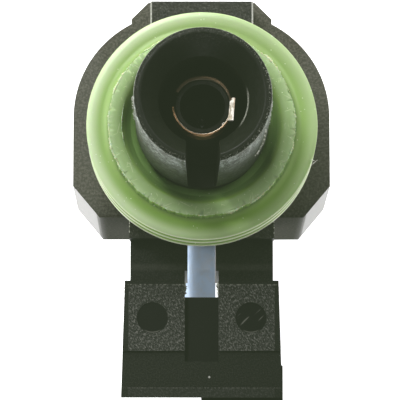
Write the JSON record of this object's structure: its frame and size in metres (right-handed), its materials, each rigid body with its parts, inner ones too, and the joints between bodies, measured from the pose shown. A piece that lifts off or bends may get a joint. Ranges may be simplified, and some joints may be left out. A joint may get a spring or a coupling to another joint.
{
  "type": "fuel injector",
  "caption": "Solenoid fuel injector with slotted nose sleeve, ribbed seal, off-centre overmoulded housing and a two-pin socket on a forked neck.",
  "frame": {"origin": "centre of the inlet end face, on the injector's axis", "axes": "+Z along the injector's axis towards the nozzle tip, -Y towards the electrical socket, +X to the right when seen from the socket's side with the nozzle up"},
  "size_m": [0.0252, 0.0393, 0.0615],
  "materials": {
    "nose_plastic": "black glass-filled nylon, fine satin texture, bright worn rim",
    "seal_rubber": "soft translucent green rubber, satin, slightly rough mould flash on its lip",
    "collar_plastic": "black moulded plastic with a coarse spark-eroded grain",
    "housing_plastic": "black glass-filled nylon, satin",
    "connector_plastic": "black moulded plastic, coarse spark-eroded grain with smooth bands",
    "terminal_tin": "bright tin-plated copper alloy",
    "ring_brass": "rolled brass strip, lightly tarnished",
    "clip_steel": "zinc-plated spring steel, pale blue",
    "stainless": "machined stainless steel",
    "dark_stainless": "stainless steel, oxidised dark",
    "magnetic_steel": "plated magnetic steel",
    "o_ring_rubber": "black fluorocarbon rubber",
    "backing_plastic": "natural nylon",
    "filter_brass": "drawn brass",
    "filter_plastic": "natural nylon cage",
    "filter_gauze": "woven nylon gauze",
    "bobbin_plastic": "brown glass-filled nylon",
    "copper_wire": "enamelled copper wire",
    "coil_seal_rubber": "red-brown silicone",
    "spring_steel": "drawn spring steel"
  },
  "bodies": {
    "injector_body": {"nose_sleeve": "nose_plastic", "split_ring": "ring_brass", "lower_seal": "seal_rubber", "front_collar": "collar_plastic", "housing": "housing_plastic", "connector_shroud": "connector_plastic", "terminal_left": "terminal_tin", "terminal_right": "terminal_tin", "inlet_tube": "stainless", "inlet_o_ring": "o_ring_rubber", "backing_ring": "backing_plastic", "filter_ring": "filter_brass", "filter_basket": "filter_plastic", "filter_mesh": "filter_gauze", "adjusting_sleeve": "stainless", "magnet_shell": "magnetic_steel", "flux_washer": "magnetic_steel", "coil_bobbin": "bobbin_plastic", "coil_winding": "copper_wire", "coil_seal_rear": "coil_seal_rubber", "coil_seal_front": "coil_seal_rubber", "spacer_ring": "stainless", "valve_body": "dark_stainless", "valve_seat": "stainless", "orifice_plate": "dark_stainless", "return_spring": "spring_steel"},
    "valve": {"armature": "magnetic_steel", "needle": "stainless", "valve_ball": "stainless"},
    "clip": {"rail_clip": "clip_steel"}
  },
  "joints": [
    {"name": "needle_lift", "type": "slide", "parent": "injector_body", "child": "valve", "axis": [0, 0, -1], "range_m": [0, 0.0001], "stiffness_N_per_m": 1500, "springref_m": -0.002, "deforming": ["return_spring"]},
    {"name": "clip_pull", "type": "slide", "parent": "injector_body", "child": "clip", "axis": [0, -1, 0], "range_m": [0, 0.012]}
  ]
}
